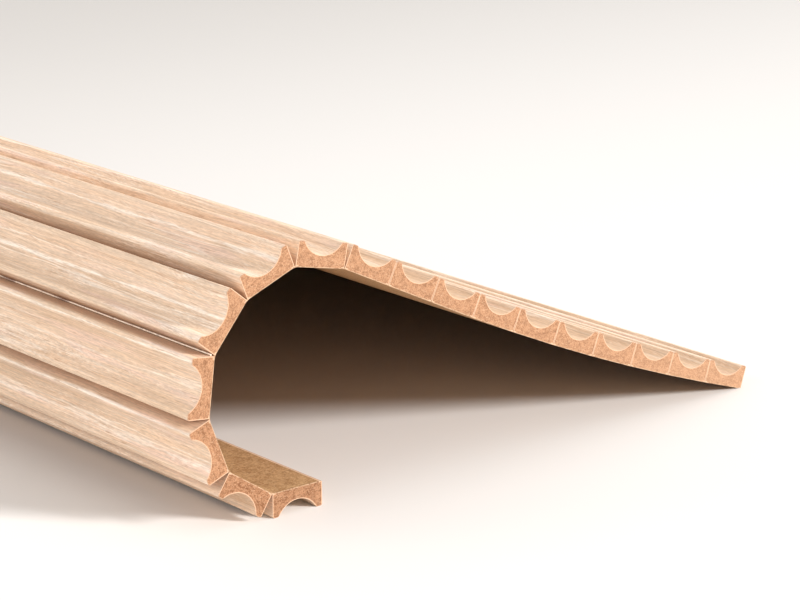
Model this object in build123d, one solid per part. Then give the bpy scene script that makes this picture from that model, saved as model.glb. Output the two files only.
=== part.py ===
"""Flexible slat wall panel, lying in the loose curl that it takes when it is unrolled on a floor.

Seventeen fluted fibreboard slats, each wrapped in a wood-look film, are glued side by side to one
thin flexible backing sheet. The sheet folds only along the joints between the slats. Slat 1 lies
face down on the floor, the next six slats turn the sheet over, and the rest run down as a ramp
until the far edge touches the floor.

Millimetres. X runs across the slats towards the foot of the ramp, Y along the slats, Z up. The
origin is at the middle of the panel's footprint, on the floor.
"""
import os
from math import atan2, cos, degrees, radians, sin, sqrt, tan

from build123d import *

os.makedirs("parts", exist_ok=True)

# Panel
SLAT_COUNT = 17
LENGTH = 2800.0
PITCH = 23.5
JOINT_GAP = 0.24
BACKING_THICKNESS = 0.3
BACKING_SETBACK = 1.5
BACKING_FOLD_RADIUS = 6.0
FILM_THICKNESS = 0.3
FILM_TURN_IN = 1.4

# Slat section, measured over the film
SLAT_HEIGHT = 9.6
FLUTE_DEPTH = 5.2
CREST_WIDTH = 2.7
WALL_CORNER_RADIUS = 0.9
FLUTE_EDGE_RADIUS = 1.2

# Fold at each joint in degrees, from slat 1
FIRST_SLAT_DIRECTION = 180.0
CURL_FOLD_ANGLES = [33.4, 35.6, 28.2, 32.4, 28.9, 33.1, 14.1]
LEVEL_RAMP_JOINTS = 2
RAMP_SAG_ANGLE = 1.1

SLAT_WIDTH = PITCH - JOINT_GAP
HALF_WIDTH = SLAT_WIDTH / 2
CREST_HEIGHT = BACKING_THICKNESS + SLAT_HEIGHT
FLUTE_FLOOR = CREST_HEIGHT - FLUTE_DEPTH
FLUTE_HALF_WIDTH = HALF_WIDTH - CREST_WIDTH
FLUTE_RADIUS = (FLUTE_HALF_WIDTH**2 + FLUTE_DEPTH**2) / (2 * FLUTE_DEPTH)

# Steps of the search for the folds that bring the far edge to the floor
SEARCH_STEPS = 50


def arc_point(centre, radius, angle):
    """Point on a circle, at an angle in degrees."""
    return (centre[0] + radius * cos(radians(angle)), centre[1] + radius * sin(radians(angle)))


def mirrored(point):
    """The point's twin on the other side of the slat's middle."""
    return (-point[0], point[1])


def slat_face(inset, glue_face_height):
    """Slat section about its middle: two walls, two flat crests and the flute between them.

    Walls, crests and flute stand inside the film's outer surface by the inset.
    """
    wall = HALF_WIDTH - inset
    crest_top = CREST_HEIGHT - inset
    corner_arc = WALL_CORNER_RADIUS - inset
    edge_arc = FLUTE_EDGE_RADIUS - inset
    flute_arc = FLUTE_RADIUS + inset
    corner_centre = (HALF_WIDTH - WALL_CORNER_RADIUS, CREST_HEIGHT - WALL_CORNER_RADIUS)
    flute_centre = (0.0, FLUTE_FLOOR + FLUTE_RADIUS)
    edge_drop = flute_centre[1] - (CREST_HEIGHT - FLUTE_EDGE_RADIUS)
    edge_offset = sqrt((FLUTE_RADIUS + FLUTE_EDGE_RADIUS) ** 2 - edge_drop**2)
    edge_centre = (edge_offset, CREST_HEIGHT - FLUTE_EDGE_RADIUS)
    flute_end_angle = degrees(atan2(-edge_drop, edge_offset))
    edge_end_angle = flute_end_angle + 180
    wall_foot = (wall, glue_face_height)
    wall_top = (wall, corner_centre[1])
    corner = arc_point(corner_centre, corner_arc, 45)
    crest_at_wall = (corner_centre[0], crest_top)
    crest_at_flute = (edge_centre[0], crest_top)
    edge = arc_point(edge_centre, edge_arc, (90 + edge_end_angle) / 2)
    flute_end = arc_point(flute_centre, flute_arc, flute_end_angle)
    flute_floor = (0.0, FLUTE_FLOOR - inset)
    return make_face(
        [
            Line(mirrored(wall_foot), wall_foot),
            Line(wall_foot, wall_top),
            ThreePointArc(wall_top, corner, crest_at_wall),
            Line(crest_at_wall, crest_at_flute),
            ThreePointArc(crest_at_flute, edge, flute_end),
            ThreePointArc(flute_end, flute_floor, mirrored(flute_end)),
            ThreePointArc(mirrored(flute_end), mirrored(edge), mirrored(crest_at_flute)),
            Line(mirrored(crest_at_flute), mirrored(crest_at_wall)),
            ThreePointArc(mirrored(crest_at_wall), mirrored(corner), mirrored(wall_top)),
            Line(mirrored(wall_top), mirrored(wall_foot)),
        ]
    )


def core_face():
    """Fibreboard section: inside the film, with its glue face bare between the film's turned-in edges."""
    inside_film = slat_face(FILM_THICKNESS, BACKING_THICKNESS + FILM_THICKNESS)
    bare_width = SLAT_WIDTH - 2 * FILM_TURN_IN
    glue_pad = Pos(0, BACKING_THICKNESS + FILM_THICKNESS / 2) * Rectangle(bare_width, FILM_THICKNESS)
    return inside_film + glue_pad


def film_face():
    """Film section: round the face and both walls, and turned in under the slat's two corners."""
    return slat_face(0.0, BACKING_THICKNESS) - core_face()


def turned(point, angle):
    """The point turned about the origin, by an angle in degrees."""
    c, s = cos(radians(angle)), sin(radians(angle))
    return (point[0] * c - point[1] * s, point[0] * s + point[1] * c)


def moved(point, offset, angle):
    """The point moved by an offset given along and across a direction."""
    step = turned(offset, angle)
    return (point[0] + step[0], point[1] + step[1])


def walk(start, direction, folds):
    """Joint points and slat directions of a run of slats, folded by each angle in turn."""
    points = [start]
    directions = [direction]
    for fold in folds:
        points.append(moved(points[-1], (PITCH, 0.0), directions[-1]))
        directions.append(directions[-1] - fold)
    points.append(moved(points[-1], (PITCH, 0.0), directions[-1]))
    return points, directions


def panel_walk(correction):
    """Joint points and slat directions of the whole panel, with an angle added to each curl fold.

    The ramp's first joints are level, and the rest sag slightly under its own weight.
    """
    curl = [fold + correction for fold in CURL_FOLD_ANGLES]
    sagging_joints = SLAT_COUNT - 1 - len(curl) - LEVEL_RAMP_JOINTS
    folds = curl + [0.0] * LEVEL_RAMP_JOINTS + [-RAMP_SAG_ANGLE] * sagging_joints
    return walk((0.0, CREST_HEIGHT), FIRST_SLAT_DIRECTION, folds)


def far_edge_height(correction):
    """Height of the lowest corner at the foot of the ramp, the last slat's or the backing sheet's."""
    points, directions = panel_walk(correction)
    slat_corner = (PITCH - JOINT_GAP / 2, BACKING_THICKNESS)
    backing_corner = (slat_corner[0] - BACKING_SETBACK, 0.0)
    rises = [turned(corner, directions[-1])[1] for corner in (slat_corner, backing_corner)]
    return points[-2][1] + min(rises)


def panel_path():
    """Joint points (x, z) of the sheet's free face and each slat's direction, slat 1 first.

    The folds of the curl are evened out by one small angle, so that the far edge meets the floor.
    """
    high = min(CURL_FOLD_ANGLES)
    low = -high
    for _ in range(SEARCH_STEPS):
        middle = (low + high) / 2
        if far_edge_height(middle) > 0:
            low = middle
        else:
            high = middle
    return panel_walk(high)


def backing_face(points, directions):
    """Section of the backing sheet: one strip folded at each joint, short of both free edges.

    Its glue face keeps sharp folds under the slats, and its free face rounds each fold of the curl.
    """
    trim = JOINT_GAP / 2 + BACKING_SETBACK
    start = moved(points[0], (trim, 0.0), directions[0])
    end = moved(points[-1], (-trim, 0.0), directions[-1])
    edges = []
    reached = start
    glue_face = [moved(start, (0.0, BACKING_THICKNESS), directions[0])]
    for point, before, after in zip(points[1:-1], directions, directions[1:]):
        half_fold = radians((before - after) / 2)
        middle = (before + after) / 2
        glue_face.append(moved(point, (0.0, BACKING_THICKNESS / cos(half_fold)), middle))
        if half_fold > 0:
            tangent = BACKING_FOLD_RADIUS * tan(half_fold)
            bulge = BACKING_FOLD_RADIUS * (1 / cos(half_fold) - 1)
            arc_start = moved(point, (-tangent, 0.0), before)
            arc_end = moved(point, (tangent, 0.0), after)
            edges.append(Line(reached, arc_start))
            edges.append(ThreePointArc(arc_start, moved(point, (0.0, -bulge), middle), arc_end))
            reached = arc_end
        else:
            edges.append(Line(reached, point))
            reached = point
    glue_face.append(moved(end, (0.0, BACKING_THICKNESS), directions[-1]))
    edges.append(Line(reached, end))
    edges.append(Polyline([end] + glue_face[::-1] + [start]))
    return make_face(edges)


def section_plane(point, direction):
    """Plane across the far ends of the slats, with its X along the sheet and its Y out of the face."""
    along = turned((1.0, 0.0), direction)
    return Plane(
        origin=(point[0], LENGTH / 2, point[1]),
        x_dir=(along[0], 0, along[1]),
        z_dir=(0, -1, 0),
    )


def build():
    """All solids by node name, centred over the origin."""
    points, directions = panel_path()
    core = extrude(Pos(PITCH / 2, 0) * core_face(), LENGTH)
    film = extrude(Pos(PITCH / 2, 0) * film_face(), LENGTH)
    sheet_section = section_plane((0.0, 0.0), 0.0) * backing_face(points, directions)
    pieces = {"backing_sheet": extrude(sheet_section, LENGTH)}
    for index, (point, direction) in enumerate(zip(points, directions), start=1):
        place = section_plane(point, direction).location
        pieces[f"slat_{index:02d}"] = place * core
        pieces[f"facing_{index:02d}"] = place * film
    box = Compound(list(pieces.values())).bounding_box()
    centring = Pos(-(box.min.X + box.max.X) / 2, 0, 0)
    return {name: centring * piece for name, piece in pieces.items()}


for node, solid in build().items():
    export_step(solid, f"parts/{node}.step")
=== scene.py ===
"""Looks of a flexible slat wall panel that lies in a loose curl on a pale floor.

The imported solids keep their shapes. This script gives every slat its wood print and its fibreboard,
lays the thin line of glue that shows in one open joint, and sets the floor, the lights and the camera.
"""
import logging
import math
from collections import defaultdict
from dataclasses import dataclass, field
from enum import Enum

import bmesh
import bpy
from mathutils import Matrix, Vector


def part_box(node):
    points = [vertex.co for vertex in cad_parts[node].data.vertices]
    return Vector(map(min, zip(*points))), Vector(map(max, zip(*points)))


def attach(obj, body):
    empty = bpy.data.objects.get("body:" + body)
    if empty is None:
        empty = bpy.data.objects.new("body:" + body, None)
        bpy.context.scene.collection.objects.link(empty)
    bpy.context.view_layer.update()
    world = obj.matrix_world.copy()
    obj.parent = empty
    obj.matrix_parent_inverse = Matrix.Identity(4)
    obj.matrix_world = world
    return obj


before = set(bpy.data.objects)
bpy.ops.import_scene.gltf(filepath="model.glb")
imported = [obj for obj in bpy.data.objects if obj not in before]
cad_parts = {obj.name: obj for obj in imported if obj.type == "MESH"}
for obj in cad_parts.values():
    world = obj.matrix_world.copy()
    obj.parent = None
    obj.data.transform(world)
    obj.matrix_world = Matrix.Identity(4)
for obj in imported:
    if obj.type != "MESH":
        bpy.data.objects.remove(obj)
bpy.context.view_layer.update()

log = logging.getLogger("slat_panel")

MM = 0.001

# Middle value of a noise texture, and the range that holds most of its values
NOISE_MIDDLE = 0.5
NOISE_RANGE = (0.3, 0.7)


class Stock(Enum):
    """The panel's three kinds of stock, by the start of their node names."""

    BOARD = "slat_"
    FILM = "facing_"
    BACKING = "backing_"

    @classmethod
    def of(cls, node_name: str) -> "Stock":
        """The kind of stock that a node is made of."""
        return next(kind for kind in cls if node_name.startswith(kind.value))


def srgb(red: int, green: int, blue: int) -> tuple[float, float, float, float]:
    """Turns an 8-bit display colour into a linear one.

    Args:
        red: Red, 0 to 255.
        green: Green, 0 to 255.
        blue: Blue, 0 to 255.

    Returns:
        The linear colour with full alpha.
    """
    linear = []
    for value in (red, green, blue):
        part = value / 255
        linear.append(part / 12.92 if part <= 0.04045 else ((part + 0.055) / 1.055) ** 2.4)
    return (linear[0], linear[1], linear[2], 1.0)


@dataclass(frozen=True)
class SlatPlace:
    """Where a slat lies: the middle of its glue face, and its turn about the panel's length."""

    number: int
    x: float
    z: float
    turn: float

    @classmethod
    def of(cls, node: bpy.types.Object) -> "SlatPlace":
        """Reads a slat's place off its board, whose widest flat face is the glued one.

        Args:
            node: The board's node.

        Returns:
            The slat's place.
        """
        digits = 3
        areas: dict[tuple[float, float], float] = defaultdict(float)
        sums: dict[tuple[float, float], Vector] = defaultdict(Vector)
        for polygon in node.data.polygons:
            facing = (round(polygon.normal.x, digits), round(polygon.normal.z, digits))
            areas[facing] += polygon.area
            sums[facing] += polygon.center * polygon.area
        glued = max(areas, key=areas.__getitem__)
        middle = sums[glued] / areas[glued]
        number = int(node.name.removeprefix(Stock.BOARD.value))
        return cls(number, middle.x, middle.z, math.atan2(glued[0], -glued[1]))

    def point(self, across: float, out: float) -> Vector:
        """A point of the slat's section.

        Args:
            across: Distance from the slat's middle, across it.
            out: Distance out from its glue face.

        Returns:
            The point, in the middle of the slat's length.
        """
        cosine, sine = math.cos(self.turn), math.sin(self.turn)
        return Vector((self.x + across * cosine - out * sine, 0.0, self.z + across * sine + out * cosine))


class Graph:
    """A thin wrapper that adds nodes to one node tree and links them."""

    def __init__(self, tree: bpy.types.NodeTree) -> None:
        """Keeps the tree.

        Args:
            tree: The tree to add to.
        """
        self.tree = tree

    def add(self, kind: str, **settings: object) -> bpy.types.Node:
        """Adds a node and sets its properties.

        Args:
            kind: The node's type name.
            **settings: Properties of the node.

        Returns:
            The new node.
        """
        node = self.tree.nodes.new(kind)
        for name, value in settings.items():
            setattr(node, name, value)
        return node

    def put(self, value: object, socket: bpy.types.NodeSocket) -> None:
        """Feeds a socket from another socket, or sets it to a plain value.

        Args:
            value: An output socket, a number or a colour.
            socket: The input to feed.
        """
        if isinstance(value, bpy.types.NodeSocket):
            self.tree.links.new(value, socket)
        else:
            socket.default_value = value

    def math(self, operation: str, first: object, second: object = 0.0) -> bpy.types.NodeSocket:
        """Adds a Math node.

        Args:
            operation: The node's operation.
            first: First input.
            second: Second input.

        Returns:
            The result.
        """
        node = self.add("ShaderNodeMath", operation=operation)
        self.put(first, node.inputs[0])
        self.put(second, node.inputs[1])
        return node.outputs[0]

    def product(self, *factors: object) -> object:
        """Multiplies values.

        Args:
            *factors: Sockets or numbers.

        Returns:
            Their product.
        """
        result = factors[0]
        for factor in factors[1:]:
            result = self.math("MULTIPLY", result, factor)
        return result

    def ramp(
        self, value: object, low: float, high: float, low_out: float = 0.0, high_out: float = 1.0
    ) -> bpy.types.NodeSocket:
        """Maps a range smoothly to another one.

        Args:
            value: The input.
            low: Input at the start of the range.
            high: Input at its end.
            low_out: Output at the start.
            high_out: Output at the end.

        Returns:
            The mapped value.
        """
        node = self.add("ShaderNodeMapRange", interpolation_type="SMOOTHSTEP")
        self.put(value, node.inputs["Value"])
        self.put(low, node.inputs["From Min"])
        self.put(high, node.inputs["From Max"])
        self.put(low_out, node.inputs["To Min"])
        self.put(high_out, node.inputs["To Max"])
        return node.outputs["Result"]

    def mix(self, share: object, first: object, second: object, blend: str = "MIX") -> bpy.types.NodeSocket:
        """Mixes two colours.

        Args:
            share: How much of the second one, 0 to 1.
            first: First colour.
            second: Second colour.
            blend: How they mix, such as MIX or MULTIPLY.

        Returns:
            The mixed colour.
        """
        share_socket, first_colour, second_colour, mixed_colour = 0, 6, 7, 2
        node = self.add("ShaderNodeMix", data_type="RGBA", blend_type=blend)
        self.put(share, node.inputs[share_socket])
        self.put(first, node.inputs[first_colour])
        self.put(second, node.inputs[second_colour])
        return node.outputs[mixed_colour]

    def shade(self, colour: object, *factors: object) -> bpy.types.NodeSocket:
        """Makes a colour darker or lighter.

        Args:
            colour: The colour.
            *factors: Sockets or numbers that it is multiplied by.

        Returns:
            The new colour.
        """
        node = self.add("ShaderNodeVectorMath", operation="SCALE")
        self.put(colour, node.inputs[0])
        self.put(self.product(*factors), node.inputs["Scale"])
        return node.outputs["Vector"]

    def split(self, vector: object) -> tuple[bpy.types.NodeSocket, ...]:
        """The X, Y and Z of a vector."""
        node = self.add("ShaderNodeSeparateXYZ")
        self.put(vector, node.inputs[0])
        return tuple(node.outputs)

    def join(self, x: object, y: object, z: object) -> bpy.types.NodeSocket:
        """A vector of three values."""
        node = self.add("ShaderNodeCombineXYZ")
        for value, socket in zip((x, y, z), node.inputs):
            self.put(value, socket)
        return node.outputs[0]

    def noise(
        self, vector: object, detail: float = 2.0, roughness: float = 0.5, distortion: float = 0.0
    ) -> bpy.types.NodeSocket:
        """Adds a noise texture of scale 1.

        Args:
            vector: The coordinates, already scaled.
            detail: Octaves.
            roughness: How much each octave keeps.
            distortion: How far the noise is warped by itself.

        Returns:
            The noise, 0 to 1 and mostly near 0.5.
        """
        node = self.add("ShaderNodeTexNoise", noise_dimensions="3D")
        self.put(vector, node.inputs["Vector"])
        node.inputs["Scale"].default_value = 1.0
        node.inputs["Detail"].default_value = detail
        node.inputs["Roughness"].default_value = roughness
        node.inputs["Distortion"].default_value = distortion
        return node.outputs["Fac"]


def new_group(name: str, inputs: list[str], outputs: list[str]) -> tuple[Graph, dict, dict]:
    """Starts a shader node group whose first input is a vector, and the rest numbers.

    Args:
        name: The group's name.
        inputs: Names of its number inputs.
        outputs: Names of its outputs, all of them numbers.

    Returns:
        The group's graph, its inputs by name and its outputs by name.
    """
    tree = bpy.data.node_groups.new(name, "ShaderNodeTree")
    tree.interface.new_socket("Vector", in_out="INPUT", socket_type="NodeSocketVector")
    for label in inputs:
        tree.interface.new_socket(label, in_out="INPUT", socket_type="NodeSocketFloat")
    for label in outputs:
        tree.interface.new_socket(label, in_out="OUTPUT", socket_type="NodeSocketFloat")
    graph = Graph(tree)
    into = {socket.name: socket for socket in graph.add("NodeGroupInput").outputs}
    out = {socket.name: socket for socket in graph.add("NodeGroupOutput").inputs}
    return graph, into, out


def streak_group() -> bpy.types.NodeTree:
    """Streaks along the slats: noise stretched along Y.

    Width and Length are in the vector's own unit. Slant leans the streaks off the slats' length, and
    Seed gives another set.

    Returns:
        The group, with a Streak output around 0.5, and a Line output that is 1 on thin wavering lines.
    """
    line_half_width = 0.035
    numbers = ["Width", "Length", "Slant", "Seed"]
    graph, into, out = new_group("lengthwise_streaks", numbers, ["Streak", "Line"])
    x, y, z = graph.split(into["Vector"])
    lean = graph.product(y, into["Slant"])
    across = graph.math("DIVIDE", graph.math("SUBTRACT", x, lean), into["Width"])
    out_from_face = graph.math("DIVIDE", graph.math("SUBTRACT", z, lean), into["Width"])
    along = graph.math("DIVIDE", y, into["Length"])
    place = graph.join(
        graph.math("ADD", across, into["Seed"]),
        graph.math("ADD", along, into["Seed"]),
        graph.math("ADD", out_from_face, into["Seed"]),
    )
    streak = graph.noise(place)
    graph.put(streak, out["Streak"])
    level = graph.math("ABSOLUTE", graph.math("SUBTRACT", streak, NOISE_MIDDLE))
    graph.put(graph.ramp(level, 0.0, line_half_width, 1.0, 0.0), out["Line"])
    return graph.tree


def vein_group() -> bpy.types.NodeTree:
    """One vein of the print, which runs along a slat at a given distance from its middle.

    Returns:
        The group, with a Vein output that is 1 in the vein.
    """
    wander_length, quiver_length, swell_length = 60.0, 9.0, 22.0
    noise_plane = 0.5
    quiver_share = 0.3
    thinnest, thickest = 0.25, 1.5
    core = 0.1
    breaks_across, breaks_along = 2.0, 0.22
    break_fade = (0.3, 0.55)
    faintest = 0.35
    graph, into, out = new_group("print_vein", ["Across", "Width", "Waver", "Seed"], ["Vein"])
    x, y, _ = graph.split(into["Vector"])

    def along(length: float, offset: float) -> bpy.types.NodeSocket:
        """Noise that changes only along the slat."""
        seed = graph.math("ADD", into["Seed"], offset)
        place = graph.join(seed, graph.math("DIVIDE", y, length), noise_plane)
        return graph.noise(place, detail=1.0)

    def stray(length: float, offset: float) -> bpy.types.NodeSocket:
        """How far the vein strays to a side, as a share of its waver."""
        return graph.math("SUBTRACT", along(length, offset), NOISE_MIDDLE)

    wander = graph.product(stray(wander_length, 0.0), into["Waver"])
    quiver = graph.product(stray(quiver_length, 5.0), into["Waver"], quiver_share)
    middle = graph.math("ADD", into["Across"], graph.math("ADD", wander, quiver))
    distance = graph.math("ABSOLUTE", graph.math("SUBTRACT", x, middle))
    swell = graph.ramp(along(swell_length, 9.0), *NOISE_RANGE, thinnest, thickest)
    thickness = graph.product(into["Width"], swell)
    body = graph.ramp(graph.math("DIVIDE", distance, thickness), core, 1.0, 1.0, 0.0)
    place = graph.join(graph.product(x, breaks_across), graph.product(y, breaks_along), into["Seed"])
    unbroken = graph.ramp(graph.noise(place), *break_fade, faintest, 1.0)
    graph.put(graph.product(body, unbroken), out["Vein"])
    return graph.tree


def sawn_end_group() -> bpy.types.NodeTree:
    """Mask of the sawn end faces, and of a ragged band beside them.

    Returns:
        The group, with Cut and Frayed outputs from 0 to 1.
    """
    end_face_depth = 0.02
    narrowest, widest = 0.2, 1.8
    full_until = 0.5
    graph, into, out = new_group("sawn_end", ["Half Length", "Band"], ["Cut", "Frayed"])
    _, y, _ = graph.split(into["Vector"])
    distance = graph.math("SUBTRACT", into["Half Length"], graph.math("ABSOLUTE", y))
    graph.put(graph.math("LESS_THAN", distance, end_face_depth), out["Cut"])
    ragged = graph.noise(into["Vector"], roughness=0.6)
    reach = graph.product(into["Band"], graph.ramp(ragged, *NOISE_RANGE, narrowest, widest))
    frayed = graph.ramp(graph.math("DIVIDE", distance, reach), full_until, 1.0, 1.0, 0.0)
    graph.put(frayed, out["Frayed"])
    return graph.tree


def fibre_group() -> bpy.types.NodeTree:
    """Matted fibres that lie in flat layers, as in pressed fibreboard and kraft paper.

    Size is the fibres' length, and Layer their thickness across the layers.

    Returns:
        The group, with a Matting output around 0.5, and Dark and Pale outputs that mark single fibres.
    """
    coarse_size, coarse_share = 4.0, 0.35
    dark_size, pale_size = 1.3, 1.1
    single_fibre = (0.58, 0.68)
    graph, into, out = new_group("matted_fibres", ["Size", "Layer"], ["Matting", "Dark", "Pale"])
    x, y, z = graph.split(into["Vector"])

    def layered(size: float, offset: float, detail: float) -> bpy.types.NodeSocket:
        """Noise whose marks are this many times the fibres' size."""
        flat = graph.product(into["Size"], size)
        thin = graph.product(into["Layer"], size)
        place = graph.join(
            graph.math("ADD", graph.math("DIVIDE", x, flat), offset),
            graph.math("DIVIDE", y, flat),
            graph.math("DIVIDE", z, thin),
        )
        return graph.noise(place, detail=detail, roughness=0.65, distortion=0.6)

    fine = graph.product(layered(1.0, 0.0, 3.0), 1 - coarse_share)
    coarse = graph.product(layered(coarse_size, 17.0, 2.0), coarse_share)
    graph.put(graph.math("ADD", fine, coarse), out["Matting"])
    graph.put(graph.ramp(layered(dark_size, 31.0, 1.0), *single_fibre), out["Dark"])
    graph.put(graph.ramp(layered(pale_size, 53.0, 1.0), *single_fibre), out["Pale"])
    return graph.tree


@dataclass
class Groups:
    """The shader node groups that the finishes share, each built once."""

    streaks: bpy.types.NodeTree = field(default_factory=streak_group)
    vein: bpy.types.NodeTree = field(default_factory=vein_group)
    sawn_end: bpy.types.NodeTree = field(default_factory=sawn_end_group)
    fibres: bpy.types.NodeTree = field(default_factory=fibre_group)


@dataclass(frozen=True)
class Streaks:
    """One kind of streak, in millimetres.

    Fade is the range of its noise over which it shows, share is how much of it shows at most, and slant
    leans it off the slat's length.
    """

    width: float
    length: float
    seed: float
    fade: tuple[float, float] = NOISE_RANGE
    share: float = 1.0
    slant: float = 0.0


class Finish:
    """A material in the making: its graph, its shader and its coordinates in millimetres."""

    def __init__(self, name: str, groups: Groups, slat: SlatPlace | None = None) -> None:
        """Starts the material.

        Args:
            name: The material's name.
            groups: The shared node groups.
            slat: The slat whose own X and Z the coordinates follow, or none for the room's.
        """
        self.groups = groups
        self.material = bpy.data.materials.new(name)
        self.material.use_nodes = True
        self.graph = Graph(self.material.node_tree)
        self.shader = self.graph.tree.nodes["Principled BSDF"]
        mapping = self.graph.add("ShaderNodeMapping", vector_type="TEXTURE")
        self.graph.put(self.graph.add("ShaderNodeTexCoord").outputs["Object"], mapping.inputs["Vector"])
        mapping.inputs["Scale"].default_value = (MM, MM, MM)
        if slat:
            mapping.inputs["Location"].default_value = (slat.x, 0.0, slat.z)
            mapping.inputs["Rotation"].default_value = (0.0, -slat.turn, 0.0)
        self.place = mapping.outputs["Vector"]

    def use(self, group: bpy.types.NodeTree, vector: object, **values: object) -> bpy.types.Node:
        """Places a group.

        Args:
            group: The group.
            vector: Coordinates for its Vector input.
            **values: Its other inputs, with an underscore for a space.

        Returns:
            The group's node.
        """
        node = self.graph.add("ShaderNodeGroup", node_tree=group)
        self.graph.put(vector, node.inputs["Vector"])
        for name, value in values.items():
            self.graph.put(value, node.inputs[name.replace("_", " ")])
        return node

    def streaks(
        self, kind: Streaks, vector: object, output: str = "Streak", seed_shift: float = 0.0
    ) -> bpy.types.NodeSocket:
        """Places one kind of streak.

        Args:
            kind: The kind.
            vector: Coordinates, in millimetres.
            output: Which output of the streak group is wanted.
            seed_shift: What is added to the kind's own seed.

        Returns:
            That output.
        """
        node = self.use(
            self.groups.streaks,
            vector,
            Width=kind.width,
            Length=kind.length,
            Slant=kind.slant,
            Seed=kind.seed + seed_shift,
        )
        return node.outputs[output]

    def bump(self, height: object, depth: float, strength: float) -> None:
        """Gives the shader its relief.

        Args:
            height: The relief, 0 to 1.
            depth: Its depth in millimetres.
            strength: How much of it shows.
        """
        bump = self.graph.add("ShaderNodeBump")
        bump.inputs["Strength"].default_value = strength
        bump.inputs["Distance"].default_value = depth * MM
        self.graph.put(height, bump.inputs["Height"])
        self.graph.put(bump.outputs["Normal"], self.shader.inputs["Normal"])


@dataclass(frozen=True)
class Vein:
    """A vein in one slat's print, in millimetres, pale unless it is brown.

    Across is its distance from the slat's middle, and waver is how far it strays.
    """

    slat: int
    across: float
    width: float
    waver: float = 5.0
    strength: float = 0.8
    brown: bool = False


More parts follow.
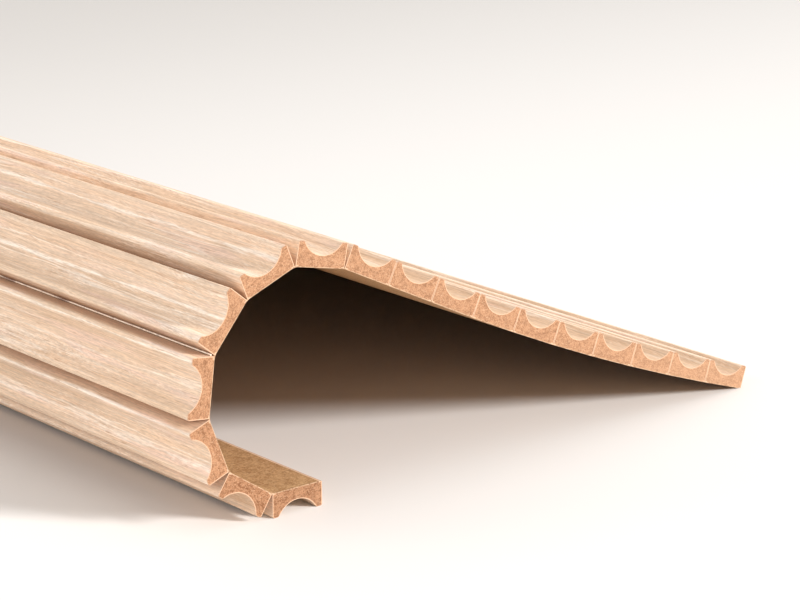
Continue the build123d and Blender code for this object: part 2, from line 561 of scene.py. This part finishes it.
@dataclass(frozen=True)
class WoodFilm:
    """Pale oak print on a satin film, whose cut edge shows cream at the sawn ends, with painted shade deep
    in the joints and in the flutes of some slats.

    Each step moves a noise on from one slat to the next, so that no two slats have the same print.
    """

    base: tuple = srgb(234, 205, 178)
    tan: tuple = srgb(219, 186, 154)
    white: tuple = srgb(251, 236, 220)
    pink: tuple = srgb(232, 199, 180)
    brown: tuple = srgb(200, 154, 115)
    pore: tuple = srgb(182, 141, 110)
    # Painted shade: plain darker browns that the walls take deep in the joints between slats, where shade
    # falls.
    left_wall_shade: tuple = srgb(196, 158, 128)
    right_wall_shade: tuple = srgb(208, 175, 149)
    edge: tuple = srgb(186, 149, 119)
    torn: tuple = srgb(156, 117, 87)
    roughness: float = 0.48
    roughness_changes: tuple[float, float] = (-0.05, 0.07)
    pore_roughness: float = 0.2
    pore_depth: float = 0.5
    relief_depth: float = 0.05
    relief_strength: float = 0.3
    seed_step: float = 17.3
    vein_step: float = 7.7
    drift: float = 2.5
    drift_step: float = 3.1
    drift_across: float = 0.05
    drift_along: float = 0.012
    broad: Streaks = Streaks(5.0, 220.0, 3.7, (0.36, 0.64), 0.35)
    medium: Streaks = Streaks(1.7, 90.0, 11.3, (0.34, 0.66), 0.35)
    fine: Streaks = Streaks(0.55, 40.0, 19.1, (0.34, 0.66), 0.3)
    flushed: Streaks = Streaks(6.0, 80.0, 47.0, (0.52, 0.66), 0.6)
    bleached: Streaks = Streaks(2.0, 120.0, 61.0, (0.56, 0.70), 0.35)
    white_line: Streaks = Streaks(5.0, 170.0, 71.0, share=0.6)
    white_reach: Streaks = Streaks(8.0, 90.0, 77.0, (0.45, 0.60))
    brown_line: Streaks = Streaks(3.4, 140.0, 101.0, share=0.4)
    brown_reach: Streaks = Streaks(7.0, 50.0, 107.0, (0.54, 0.66))
    rippled: Streaks = Streaks(7.0, 60.0, 137.0, (0.46, 0.62))
    least_rippled: float = 0.15
    crests: Streaks = Streaks(0.55, 5.0, 131.0, (0.50, 0.66), 0.35, slant=0.13)
    troughs: Streaks = Streaks(0.5, 4.4, 151.0, (0.54, 0.68), 0.3, slant=0.13)
    hair: Streaks = Streaks(0.45, 22.0, 31.1)
    hair_shade: tuple[float, float] = (0.87, 1.11)
    mottle: Streaks = Streaks(0.4, 3.0, 37.9)
    mottle_shade: tuple[float, float] = (0.92, 1.08)
    pores: Streaks = Streaks(0.6, 12.0, 83.0, (0.63, 0.71), 0.55)
    torn_above: float = 8.7
    torn_fade: float = 0.6
    frayed_band: float = 0.25
    frayed_share: float = 0.5
    # Where the walls start, and the heights up each wall over which their painted shade fades out.
    side_from: float = 11.3
    left_wall_shade_fade: tuple[float, float] = (1.5, 5.0)
    right_wall_shade_fade: tuple[float, float] = (5.5, 8.6)
    # Painted shade: the flutes of these slats are darkened, for light that doesn't reach into them.
    shaded_flutes: tuple[int, ...] = (2, *range(8, 18))
    flute_shade: tuple = (0.86, 0.80, 0.73, 1.0)
    flute_shade_end: tuple[float, float] = (7.5, 9.3)
    veins: tuple[Vein, ...] = (
        Vein(7, -10.4, 0.9, waver=1.0, strength=0.5, brown=True),
        Vein(6, 5.7, 0.9, waver=3.5, strength=0.8),
        Vein(5, 1.3, 0.8, waver=3.5, strength=0.9),
        Vein(5, 5.6, 0.4, waver=3.5, strength=0.6),
        Vein(5, -1.7, 0.4, waver=3.5, strength=0.6),
        Vein(4, 10.2, 0.6, waver=1.5),
        Vein(4, -1.7, 0.6, waver=3.5, strength=0.5),
        Vein(3, 11.0, 0.7, waver=1.0, strength=0.6),
        Vein(3, -6.7, 0.8, strength=0.6),
        Vein(3, -4.6, 0.5, strength=0.6),
        Vein(2, 10.8, 0.6, waver=1.5, strength=0.6),
    )

    def make(self, groups: Groups, slat: SlatPlace, half_length: float) -> bpy.types.Material:
        """Builds the film of one slat.

        Args:
            groups: The shared node groups.
            slat: The slat.
            half_length: Half the panel's length, in millimetres.

        Returns:
            The material.
        """
        finish = Finish(f"wood_look_film_{slat.number:02d}", groups, slat)
        graph = finish.graph
        x, y, z = graph.split(finish.place)
        across, along = graph.product(x, self.drift_across), graph.product(y, self.drift_along)
        drift = graph.noise(graph.join(across, along, slat.number * self.drift_step))
        sway = graph.product(graph.math("SUBTRACT", drift, NOISE_MIDDLE), 2 * self.drift)
        flow = graph.join(graph.math("ADD", x, sway), y, graph.math("ADD", z, sway))

        def streak(kind: Streaks, output: str = "Streak") -> bpy.types.NodeSocket:
            """Noise of one kind of streak, another set on every slat."""
            return finish.streaks(kind, flow, output, self.seed_step * slat.number)

        def faded(kind: Streaks) -> bpy.types.NodeSocket:
            """One kind of streak, 0 where it doesn't show and 1 where it does."""
            return graph.ramp(streak(kind), *kind.fade)

        def laid(
            kind: Streaks, under: bpy.types.NodeSocket, tint: tuple, *reach: bpy.types.NodeSocket
        ) -> bpy.types.NodeSocket:
            """The colour with one kind of streak laid over it, as far as its reach."""
            return graph.mix(graph.product(kind.share, faded(kind), *reach), under, tint)

        broad, medium, fine = (
            graph.product(faded(kind), kind.share) for kind in (self.broad, self.medium, self.fine)
        )
        tone = graph.math("ADD", graph.math("ADD", broad, medium), fine)
        colour = graph.mix(tone, self.tan, self.base)
        colour = laid(self.flushed, colour, self.pink)
        colour = laid(self.bleached, colour, self.white)
        for line, reach, tint in (
            (self.white_line, self.white_reach, self.white),
            (self.brown_line, self.brown_reach, self.brown),
        ):
            drawn = graph.product(line.share, streak(line, "Line"), faded(reach))
            colour = graph.mix(drawn, colour, tint)

        rippled = graph.ramp(streak(self.rippled), *self.rippled.fade, self.least_rippled, 1.0)
        colour = laid(self.crests, colour, self.white, rippled)
        colour = laid(self.troughs, colour, self.pore, rippled)
        for vein in self.veins:
            if vein.slat == slat.number:
                node = finish.use(
                    groups.vein,
                    finish.place,
                    Across=vein.across,
                    Width=vein.width,
                    Waver=vein.waver,
                    Seed=vein.across + self.vein_step * vein.slat,
                )
                tint = self.brown if vein.brown else self.white
                colour = graph.mix(graph.product(vein.strength, node.outputs["Vein"]), colour, tint)

        # Painted shade in the flutes of these slats, for light that doesn't reach into them.
        if slat.number in self.shaded_flutes:
            in_flute = graph.ramp(graph.math("ABSOLUTE", x), *self.flute_shade_end, 1.0, 0.0)
            colour = graph.mix(in_flute, colour, self.flute_shade, "MULTIPLY")

        # Painted shade: each wall turns a plain darker brown lower down in the joint, where shade falls.
        on_left = graph.math("LESS_THAN", x, -self.side_from)
        on_right = graph.math("GREATER_THAN", x, self.side_from)
        shaded_left = graph.product(on_left, graph.ramp(z, *self.left_wall_shade_fade, 1.0, 0.0))
        shaded_right = graph.product(on_right, graph.ramp(z, *self.right_wall_shade_fade, 1.0, 0.0))
        colour = graph.mix(shaded_left, colour, self.left_wall_shade)
        colour = graph.mix(shaded_right, colour, self.right_wall_shade)
        hair = streak(self.hair)
        mottle = streak(self.mottle)
        colour = graph.shade(
            colour,
            graph.ramp(hair, *self.hair.fade, *self.hair_shade),
            graph.ramp(mottle, *self.mottle.fade, *self.mottle_shade),
        )
        pore = faded(self.pores)
        colour = graph.mix(graph.product(self.pores.share, pore), colour, self.pore)

        ends = finish.use(
            groups.sawn_end, finish.place, Half_Length=half_length, Band=self.frayed_band
        ).outputs
        torn = graph.ramp(z, self.torn_above, self.torn_above + self.torn_fade)
        edge = graph.mix(torn, self.edge, self.torn)
        colour = graph.mix(graph.product(self.frayed_share, ends["Frayed"]), colour, edge)
        colour = graph.mix(ends["Cut"], colour, edge)
        graph.put(colour, finish.shader.inputs["Base Color"])

        least, most = (self.roughness + change for change in self.roughness_changes)
        rough = graph.ramp(hair, *self.hair.fade, least, most)
        rough = graph.math("ADD", rough, graph.product(self.pore_roughness, pore))
        graph.put(rough, finish.shader.inputs["Roughness"])
        relief = graph.math("SUBTRACT", mottle, graph.product(self.pore_depth, pore))
        finish.bump(relief, self.relief_depth, self.relief_strength)
        return finish.material


@dataclass(frozen=True)
class Fibreboard:
    """Medium density fibreboard, whose fibres lie in layers along the glue face.

    Painted light and shade: the board of the first slats, low in the curl, is darker, and the board turns
    paler over the next slats and again towards the ramp's foot, where more light falls. The fibre step moves
    the fibres on from one slat to the next.
    """

    light: tuple = srgb(161, 117, 85)
    dark: tuple = srgb(111, 70, 42)
    fleck: tuple = srgb(110, 65, 33)
    pale: tuple = srgb(184, 149, 119)
    roughness: float = 0.85
    specular: float = 0.25
    relief_depth: float = 0.10
    relief_strength: float = 0.4
    fibre: float = 0.58
    layer: float = 0.42
    fibre_step: float = 41.0
    matting_fade: tuple[float, float] = (0.40, 0.58)
    single_fibre_share: float = 0.45
    # Painted light and shade by slat number: darker first slats, paler ones where more light falls.
    shaded_before: int = 3
    shade_step: float = 0.07
    lit_share: float = 0.14
    lit_over: int = 3
    lit_after: int = 12
    lit_step: float = 0.035

    def painted_light_share(self, number: int) -> float:
        """How much painted light, as the pale colour, one slat's board takes."""
        risen = min(1.0, max(0.0, (number - self.shaded_before + 1) / self.lit_over))
        return risen * self.lit_share + max(0, number - self.lit_after) * self.lit_step

    def make(self, groups: Groups, slat: SlatPlace) -> bpy.types.Material:
        """Builds the board of one slat.

        Args:
            groups: The shared node groups.
            slat: The slat.

        Returns:
            The material.
        """
        finish = Finish(f"fibreboard_{slat.number:02d}", groups, slat)
        graph = finish.graph
        x, y, z = graph.split(finish.place)
        own = graph.join(graph.math("ADD", x, self.fibre_step * slat.number), y, z)
        fibres = finish.use(groups.fibres, own, Size=self.fibre, Layer=self.layer).outputs
        colour = graph.mix(graph.ramp(fibres["Matting"], *self.matting_fade), self.dark, self.light)
        colour = graph.mix(graph.product(self.single_fibre_share, fibres["Dark"]), colour, self.fleck)
        colour = graph.mix(graph.product(self.single_fibre_share, fibres["Pale"]), colour, self.pale)
        # Painted light and shade: paler boards where more light falls, darker ones low in the curl.
        colour = graph.mix(self.painted_light_share(slat.number), colour, self.pale)
        colour = graph.shade(colour, 1 - max(0, self.shaded_before - slat.number) * self.shade_step)
        graph.put(colour, finish.shader.inputs["Base Color"])
        finish.shader.inputs["Roughness"].default_value = self.roughness
        finish.shader.inputs["Specular IOR Level"].default_value = self.specular
        finish.bump(fibres["Matting"], self.relief_depth, self.relief_strength)
        return finish.material


@dataclass(frozen=True)
class BackingSheet:
    """Brown kraft backing sheet, mottled, with a light torn edge at the sawn ends."""

    light: tuple = srgb(191, 152, 109)
    dark: tuple = srgb(154, 115, 76)
    fleck: tuple = srgb(124, 87, 53)
    pale: tuple = srgb(208, 176, 139)
    edge: tuple = srgb(174, 142, 113)
    torn: tuple = srgb(130, 94, 67)
    roughness: float = 0.8
    specular: float = 0.3
    relief_depth: float = 0.15
    relief_strength: float = 0.4
    fibre_size: float = 0.9
    cloud_size: float = 5.0
    cloud_share: float = 0.2
    mottle_fade: tuple[float, float] = (0.40, 0.60)
    dark_share: float = 0.45
    pale_share: float = 0.40
    rim_fade: tuple[float, float] = (0.40, 0.52)
    frayed_band: float = 0.3
    frayed_share: float = 0.6

    def make(self, groups: Groups, half_length: float) -> bpy.types.Material:
        """Builds the material.

        Args:
            groups: The shared node groups.
            half_length: Half the panel's length, in millimetres.

        Returns:
            The material.
        """
        finish = Finish("backing_sheet", groups)
        graph = finish.graph
        fibres, clouds = (
            finish.use(groups.fibres, finish.place, Size=size, Layer=size).outputs
            for size in (self.fibre_size, self.cloud_size)
        )
        tone = graph.math(
            "ADD",
            graph.product(fibres["Matting"], 1 - self.cloud_share),
            graph.product(clouds["Matting"], self.cloud_share),
        )
        colour = graph.mix(graph.ramp(tone, *self.mottle_fade), self.dark, self.light)
        colour = graph.mix(graph.product(self.dark_share, fibres["Dark"]), colour, self.fleck)
        colour = graph.mix(graph.product(self.pale_share, fibres["Pale"]), colour, self.pale)
        ends = finish.use(
            groups.sawn_end, finish.place, Half_Length=half_length, Band=self.frayed_band
        ).outputs
        rim = graph.mix(graph.ramp(fibres["Matting"], *self.rim_fade), self.torn, self.edge)
        colour = graph.mix(graph.product(self.frayed_share, ends["Frayed"]), colour, rim)
        colour = graph.mix(ends["Cut"], colour, rim)
        graph.put(colour, finish.shader.inputs["Base Color"])
        finish.shader.inputs["Roughness"].default_value = self.roughness
        finish.shader.inputs["Specular IOR Level"].default_value = self.specular
        finish.bump(fibres["Matting"], self.relief_depth, self.relief_strength)
        return finish.material


@dataclass(frozen=True)
class DriedGlue:
    """Pale glue that has dried in a beaded line, thin in places, where it takes a painted shade of the dark
    joint.
    """

    glue: tuple = srgb(255, 234, 210)
    # Painted shade: where the glue is thin, it takes the dark of the shaded joint around it.
    thin: tuple = srgb(158, 120, 96)
    roughness: float = 0.2
    specular: float = 1.0
    spread: Streaks = Streaks(60.0, 26.0, 2.0, (0.38, 0.46))
    beads: Streaks = Streaks(60.0, 2.6, 9.0, (0.34, 0.50))
    between_beads: float = 0.60

    def make(self, groups: Groups) -> bpy.types.Material:
        """Builds the material.

        Args:
            groups: The shared node groups.

        Returns:
            The material.
        """
        finish = Finish("dried_glue", groups)
        graph = finish.graph
        spread, beads = (finish.streaks(kind, finish.place) for kind in (self.spread, self.beads))
        cover = graph.product(
            graph.ramp(spread, *self.spread.fade),
            graph.ramp(beads, *self.beads.fade, self.between_beads, 1.0),
        )
        # Painted shade where the glue is thin or broken.
        graph.put(graph.mix(cover, self.thin, self.glue), finish.shader.inputs["Base Color"])
        finish.shader.inputs["Roughness"].default_value = self.roughness
        finish.shader.inputs["Specular IOR Level"].default_value = self.specular
        return finish.material


@dataclass
class SlatPanel:
    """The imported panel: seventeen wrapped slats on their backing sheet, and one open joint's glue."""

    film: WoodFilm = WoodFilm()
    board: Fibreboard = Fibreboard()
    sheet: BackingSheet = BackingSheet()
    glue: DriedGlue = DriedGlue()
    glued_joint_after: int = 4
    glue_radius: float = 0.34
    glue_rise: float = 1.0
    glue_end_gap: float = 0.6
    glue_sides: int = 8
    slats: dict[int, SlatPlace] = field(init=False)
    half_length: float = field(init=False)

    def __post_init__(self) -> None:
        """Reads the slats' places and the panel's length off the frame."""
        boards = [node for name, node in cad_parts.items() if Stock.of(name) is Stock.BOARD]
        self.slats = {place.number: place for place in map(SlatPlace.of, boards)}
        self.half_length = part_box("backing_sheet")[1].y

    def dress(self, groups: Groups) -> None:
        """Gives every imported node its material.

        Args:
            groups: The shared node groups.
        """
        length = self.half_length / MM
        sheet = self.sheet.make(groups, length)
        for name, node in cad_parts.items():
            kind = Stock.of(name)
            if kind is Stock.BACKING:
                material = sheet
            else:
                slat = self.slats[int(name.removeprefix(kind.value))]
                is_film = kind is Stock.FILM
                material = self.film.make(groups, slat, length) if is_film else self.board.make(groups, slat)
            for slot in node.material_slots:
                slot.material = material
            log.info("dressed %s", name)

    def lay_glue(self, groups: Groups) -> bpy.types.Object:
        """Lays the line of glue at the foot of one open joint, from end to end.

        Args:
            groups: The shared node groups.

        Returns:
            The line of glue.
        """
        before, after = self.slats[self.glued_joint_after], self.slats[self.glued_joint_after + 1]
        half_reach = math.hypot(after.x - before.x, after.z - before.z) / 2
        half_pitch = half_reach / math.cos((before.turn - after.turn) / 2)
        middle_turn = (before.turn + after.turn) / 2
        out = Vector((-math.sin(middle_turn), 0.0, math.cos(middle_turn)))
        start = before.point(half_pitch, 0.0) + out * self.glue_rise * MM
        half_run = self.half_length - self.glue_end_gap * MM
        start.y = -half_run

        shape = bmesh.new()
        upright = Matrix.Translation(start) @ Matrix.Rotation(math.radians(90), 4, "X")
        bmesh.ops.create_circle(
            shape,
            cap_ends=True,
            segments=self.glue_sides,
            radius=self.glue_radius * MM,
            matrix=upright,
        )
        grown = bmesh.ops.extrude_face_region(shape, geom=shape.faces[:], use_keep_orig=True)
        far_ring = [part for part in grown["geom"] if isinstance(part, bmesh.types.BMVert)]
        bmesh.ops.translate(shape, verts=far_ring, vec=(0.0, 2 * half_run, 0.0))
        bmesh.ops.recalc_face_normals(shape, faces=shape.faces)
        mesh = bpy.data.meshes.new("glue_line")
        shape.to_mesh(mesh)
        shape.free()
        piece = bpy.data.objects.new("glue_line", mesh)
        bpy.context.scene.collection.objects.link(piece)
        mesh.materials.append(self.glue.make(groups))
        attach(piece, "root")
        log.info("laid %s", piece.name)
        return piece


@dataclass(frozen=True)
class SoftLight:
    """A distant soft light, which reaches the whole length of the panel evenly.

    It stands in the stated direction, its spread is in degrees and its strength in watts a square metre.
    """

    name: str
    direction: tuple[float, float, float]
    spread: float
    strength: float


@dataclass
class Studio:
    """Pale floor, with painted shade that turns it slowly greyer past the near sawn end, in place of the
    light's falloff, and soft lights.
    """

    floor_size: float = 14.0
    floor_colour: tuple = srgb(225, 221, 217)
    # Painted shade: the floor darkens away from the near end, in place of the light's falloff.
    far_floor_shade: tuple = srgb(182, 177, 172)
    shade_past_near_end: tuple[float, float] = (0.0, 1.2)
    floor_roughness: float = 0.6
    sky_colour: tuple = (1.0, 1.0, 1.0, 1.0)
    sky_strength: float = 0.67
    lights: tuple[SoftLight, ...] = (
        SoftLight("key", (1.494, -2.391, 1.026), 12.5, 6.04),
        SoftLight("left_front", (-2.165, 0.0, 1.25), 29.0, 0.535),
        SoftLight("left", (-1.82, 1.528, 0.77), 34.0, 0.58),
        SoftLight("top", (0.0, 0.0, 2.5), 48.0, 0.26),
    )

    def lay_floor(self) -> None:
        """Lays the floor at the panel's lowest point."""
        mesh = bpy.data.meshes.new("floor")
        shape = bmesh.new()
        bmesh.ops.create_grid(shape, x_segments=1, y_segments=1, size=self.floor_size / 2)
        shape.to_mesh(mesh)
        shape.free()
        plane = bpy.data.objects.new("floor", mesh)
        bpy.context.scene.collection.objects.link(plane)
        material = bpy.data.materials.new("pale_floor")
        material.use_nodes = True
        graph = Graph(material.node_tree)
        near_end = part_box("backing_sheet")[0].y
        _, y, _ = graph.split(graph.add("ShaderNodeTexCoord").outputs["Object"])
        # Painted shade for the light's falloff: greyer further past the near end.
        far = graph.ramp(graph.math("SUBTRACT", y, near_end), *self.shade_past_near_end)
        shader = graph.tree.nodes["Principled BSDF"]
        graph.put(graph.mix(far, self.floor_colour, self.far_floor_shade), shader.inputs["Base Color"])
        shader.inputs["Roughness"].default_value = self.floor_roughness
        mesh.materials.append(material)

    def hang(self, lamp: SoftLight) -> None:
        """Adds one soft light.

        Args:
            lamp: The light.
        """
        data = bpy.data.lights.new(lamp.name, "SUN")
        data.angle = math.radians(lamp.spread)
        data.energy = lamp.strength
        light = bpy.data.objects.new(lamp.name, data)
        light.location = lamp.direction
        light.rotation_euler = Vector(lamp.direction).to_track_quat("Z", "Y").to_euler()
        bpy.context.scene.collection.objects.link(light)

    def build(self) -> None:
        """Builds the floor, the sky and the lights."""
        self.lay_floor()
        world = bpy.data.worlds.new("sky")
        world.use_nodes = True
        sky = world.node_tree.nodes["Background"]
        sky.inputs["Color"].default_value = self.sky_colour
        sky.inputs["Strength"].default_value = self.sky_strength
        bpy.context.scene.world = world
        for lamp in self.lights:
            self.hang(lamp)
        bpy.context.scene.view_settings.view_transform = "Standard"
        log.info("set the studio")


@dataclass
class PhotoCamera:
    """The photograph's viewpoint, measured from the panel's near sawn end."""

    lens: float = 126.03
    sensor: float = 36.0
    from_near_end: tuple = (-0.7008, -0.7800, 0.3600)
    azimuth: float = -39.99
    elevation: float = 15.73
    clip: tuple = (0.01, 100.0)

    def build(self) -> None:
        """Places the camera."""
        near_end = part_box("backing_sheet")[0].y
        azimuth, elevation = math.radians(self.azimuth), math.radians(self.elevation)
        level = math.cos(elevation)
        looking = Vector((-math.sin(azimuth) * level, math.cos(azimuth) * level, -math.sin(elevation)))
        data = bpy.data.cameras.new("camera")
        data.lens = self.lens
        data.sensor_width = self.sensor
        data.clip_start, data.clip_end = self.clip
        camera = bpy.data.objects.new("camera", data)
        camera.location = Vector(self.from_near_end) + Vector((0.0, near_end, 0.0))
        camera.rotation_euler = looking.to_track_quat("-Z", "Y").to_euler()
        bpy.context.scene.collection.objects.link(camera)
        bpy.context.scene.camera = camera
        log.info("placed the camera")


def main() -> None:
    """Dresses the panel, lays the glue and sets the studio."""
    logging.basicConfig(level=logging.INFO, format="%(name)s: %(message)s")
    groups = Groups()
    panel = SlatPanel()
    panel.dress(groups)
    panel.lay_glue(groups)
    Studio().build()
    PhotoCamera().build()


if __name__ == "__main__":
    main()
